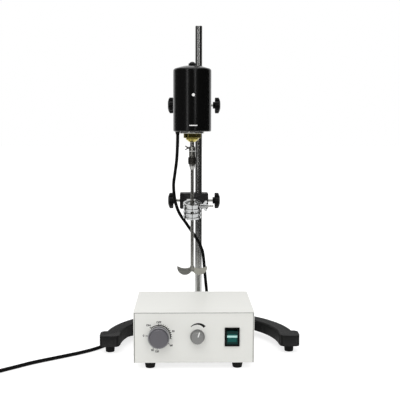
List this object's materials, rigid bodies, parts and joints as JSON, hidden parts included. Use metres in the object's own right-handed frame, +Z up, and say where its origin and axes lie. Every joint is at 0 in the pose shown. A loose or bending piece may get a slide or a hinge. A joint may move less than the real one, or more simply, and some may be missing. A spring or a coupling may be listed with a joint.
{
  "type": "overhead laboratory stirrer",
  "caption": "Overhead stirrer: motor, chuck and paddle shaft on a boss-head pole over a horseshoe base, with a flask clamp and a separate control box with timer, speed knob and switch.",
  "frame": {"origin": "middle of the object's footprint on the table, without its cords", "axes": "+Z up along the pole, +X to the viewer's right, +Y away from the viewer; the controls face -Y"},
  "size_m": [0.6382, 0.351, 0.6091],
  "materials": {
    "stand_base": "black wrinkle paint",
    "base_feet": "matte black",
    "rod_nut": "turned bright steel",
    "box_tray": "warm off-white powder coat",
    "box_cover": "warm off-white powder coat",
    "cover_screws": "turned bright steel",
    "box_feet": "matte black",
    "timer_unit": "moulded",
    "speed_control": "moulded",
    "switch_body": "moulded black",
    "control_board": "green laminate",
    "board_parts": "components",
    "fuse_holder": "moulded black",
    "mains_gland": "matte black",
    "lead_gland": "matte black",
    "mains_cord": "matte black",
    "mains_coil": "matte black",
    "mains_plug": "moulded black",
    "motor_lead": "matte black",
    "stand_rod": "polished chrome",
    "upper_boss": "satin black paint",
    "upper_rod_screw": "turned bright steel",
    "upper_rod_knob": "moulded black",
    "upper_arm_screw": "turned bright steel",
    "upper_arm_knob": "moulded black",
    "motor_arm": "turned bright steel",
    "motor_shell": "satin black paint",
    "motor_cap_nut": "satin black paint",
    "motor_end_plate": "machined",
    "bearing_nut": "turned brass",
    "motor_magnets": "turned bright steel",
    "motor_bearings": "turned bright steel",
    "brush_gear": "moulded brown with carbon brushes",
    "motor_gland": "matte black",
    "motor_shaft": "turned bright steel",
    "rotor_core": "turned bright steel",
    "rotor_winding": "varnished copper winding",
    "shaft_coupling": "turned bright steel",
    "chuck_body": "turned bright steel",
    "chuck_jaws": "turned bright steel",
    "wing_screw": "turned bright steel",
    "chuck_sleeve": "turned bright steel",
    "stirring_rod": "turned bright steel",
    "paddle": "turned bright steel",
    "lower_boss": "satin black paint",
    "lower_rod_screw": "turned bright steel",
    "lower_rod_knob": "moulded black",
    "lower_arm_screw": "turned bright steel",
    "lower_arm_knob": "moulded black",
    "clamp_rod": "turned bright steel",
    "clamp_yoke": "bright zinc plate",
    "jaw_pins": "turned bright steel",
    "left_jaw": "bright zinc plate",
    "right_jaw": "bright zinc plate",
    "jaw_screw": "turned bright steel",
    "wing_nut": "bright zinc plate",
    "timer_knob": "moulded grey",
    "speed_knob": "moulded grey",
    "rocker": "translucent green",
    "fuse_cap": "moulded black"
  },
  "bodies": {
    "stand": {"stand_base": "stand_base", "base_feet": "base_feet", "rod_nut": "rod_nut", "box_tray": "box_tray", "box_cover": "box_cover", "cover_screws": "cover_screws", "box_feet": "box_feet", "timer_unit": "timer_unit", "speed_control": "speed_control", "switch_body": "switch_body", "control_board": "control_board", "board_parts": "board_parts", "fuse_holder": "fuse_holder", "mains_gland": "mains_gland", "lead_gland": "lead_gland", "mains_cord": "mains_cord", "mains_coil": "mains_coil", "mains_plug": "mains_plug", "motor_lead": "motor_lead"},
    "pole": {"stand_rod": "stand_rod"},
    "upper_head": {"upper_boss": "upper_boss"},
    "upper_pole_grip": {"upper_rod_screw": "upper_rod_screw", "upper_rod_knob": "upper_rod_knob"},
    "upper_arm_grip": {"upper_arm_screw": "upper_arm_screw", "upper_arm_knob": "upper_arm_knob"},
    "motor_head": {"motor_arm": "motor_arm", "motor_shell": "motor_shell", "motor_cap_nut": "motor_cap_nut", "motor_end_plate": "motor_end_plate", "bearing_nut": "bearing_nut", "motor_magnets": "motor_magnets", "motor_bearings": "motor_bearings", "brush_gear": "brush_gear", "motor_gland": "motor_gland"},
    "spindle": {"motor_shaft": "motor_shaft", "rotor_core": "rotor_core", "rotor_winding": "rotor_winding", "shaft_coupling": "shaft_coupling", "chuck_body": "chuck_body", "chuck_jaws": "chuck_jaws"},
    "wing_grip": {"wing_screw": "wing_screw"},
    "sleeve": {"chuck_sleeve": "chuck_sleeve"},
    "stirrer": {"stirring_rod": "stirring_rod", "paddle": "paddle"},
    "lower_head": {"lower_boss": "lower_boss"},
    "lower_pole_grip": {"lower_rod_screw": "lower_rod_screw", "lower_rod_knob": "lower_rod_knob"},
    "lower_arm_grip": {"lower_arm_screw": "lower_arm_screw", "lower_arm_knob": "lower_arm_knob"},
    "flask_clamp": {"clamp_rod": "clamp_rod", "clamp_yoke": "clamp_yoke", "jaw_pins": "jaw_pins"},
    "left_jaw_arm": {"left_jaw": "left_jaw"},
    "right_jaw_arm": {"right_jaw": "right_jaw"},
    "jaw_bolt": {"jaw_screw": "jaw_screw"},
    "wing_nut_grip": {"wing_nut": "wing_nut"},
    "timer_dial": {"timer_knob": "timer_knob"},
    "speed_dial": {"speed_knob": "speed_knob"},
    "rocker_switch": {"rocker": "rocker"},
    "fuse_cover": {"fuse_cap": "fuse_cap"}
  },
  "joints": [
    {"name": "pole_turn", "type": "hinge", "parent": "stand", "child": "pole", "pos_m": [0, 0.1125, 0.3], "axis": [0, 0, 1], "range_deg": [-30, 30]},
    {"name": "head_height", "type": "slide", "parent": "pole", "child": "upper_head", "axis": [0, 0, 1], "range_m": [-0.025, 0.04], "deforming": ["motor_lead"]},
    {"name": "upper_pole_knob_turn", "type": "hinge", "parent": "upper_head", "child": "upper_pole_grip", "pos_m": [0.027, 0.1125, 0.4546], "axis": [1, 0, 0], "range_deg": [-360, 360]},
    {"name": "upper_arm_knob_turn", "type": "hinge", "parent": "upper_head", "child": "upper_arm_grip", "pos_m": [-0.046, 0.1125, 0.4546], "axis": [1, 0, 0], "range_deg": [-360, 360]},
    {"name": "arm_reach", "type": "slide", "parent": "upper_head", "child": "motor_head", "axis": [0, 1, 0], "range_m": [-0.022, 0.02]},
    {"name": "motor_spin", "type": "hinge", "parent": "motor_head", "child": "spindle", "pos_m": [-0.0135, 0.0275, 0.4], "axis": [0, 0, 1], "continuous": true},
    {"name": "wing_turn", "type": "hinge", "parent": "spindle", "child": "wing_grip", "pos_m": [-0.0205, 0.0275, 0.3726], "axis": [1, 0, 0], "range_deg": [-180, 180]},
    {"name": "sleeve_turn", "type": "hinge", "parent": "spindle", "child": "sleeve", "pos_m": [-0.0135, 0.0275, 0.348], "axis": [0, 0, 1], "range_deg": [-180, 180]},
    {"name": "shaft_slide", "type": "slide", "parent": "spindle", "child": "stirrer", "axis": [0, 0, 1], "range_m": [-0.004, 0.006]},
    {"name": "clamp_height", "type": "slide", "parent": "pole", "child": "lower_head", "axis": [0, 0, 1], "range_m": [-0.025, 0.025]},
    {"name": "lower_pole_knob_turn", "type": "hinge", "parent": "lower_head", "child": "lower_pole_grip", "pos_m": [0.027, 0.1125, 0.2655], "axis": [1, 0, 0], "range_deg": [-360, 360]},
    {"name": "lower_arm_knob_turn", "type": "hinge", "parent": "lower_head", "child": "lower_arm_grip", "pos_m": [-0.046, 0.1125, 0.2655], "axis": [1, 0, 0], "range_deg": [-360, 360]},
    {"name": "clamp_reach", "type": "slide", "parent": "lower_head", "child": "flask_clamp", "axis": [0, 1, 0], "range_m": [-0.022, 0.02]},
    {"name": "left_jaw_open", "type": "hinge", "parent": "flask_clamp", "child": "left_jaw_arm", "pos_m": [-0.0187, 0.05855, 0.2633], "axis": [0, 0.2419, -0.9703], "range_deg": [0, 20]},
    {"name": "right_jaw_open", "type": "hinge", "parent": "flask_clamp", "child": "right_jaw_arm", "pos_m": [-0.0083, 0.05855, 0.2633], "axis": [0, -0.2419, 0.9703], "range_deg": [0, 20]},
    {"name": "jaw_bolt_back", "type": "slide", "parent": "flask_clamp", "child": "jaw_bolt", "axis": [1, 0, 0], "range_m": [-0.006, 0]},
    {"name": "wing_nut_back", "type": "slide", "parent": "jaw_bolt", "child": "wing_nut_grip", "axis": [1, 0, 0], "range_m": [0, 0.012]},
    {"name": "timer_turn", "type": "hinge", "parent": "stand", "child": "timer_dial", "pos_m": [-0.0715, -0.1375, 0.0575], "axis": [0, 1, 0], "range_deg": [-40, 300]},
    {"name": "speed_turn", "type": "hinge", "parent": "stand", "child": "speed_dial", "pos_m": [-0.006, -0.1375, 0.0575], "axis": [0, 1, 0], "range_deg": [-170, 130]},
    {"name": "rocker_tip", "type": "hinge", "parent": "stand", "child": "rocker_switch", "pos_m": [0.0529, -0.1345, 0.0568], "axis": [1, 0, 0], "range_deg": [-14, 0]},
    {"name": "fuse_cap_turn", "type": "hinge", "parent": "stand", "child": "fuse_cover", "pos_m": [-0.074, 0.021, 0.05], "axis": [0, 1, 0], "range_deg": [0, 60]}
  ],
  "couplings": [
    {"joint": "clamp_reach", "follows": "arm_reach", "ratio": 1},
    {"joint": "right_jaw_open", "follows": "left_jaw_open", "ratio": 1},
    {"joint": "jaw_bolt_back", "follows": "left_jaw_open", "m_per_rad": -0.017189},
    {"joint": "wing_nut_back", "follows": "left_jaw_open", "m_per_rad": 0.034377}
  ]
}
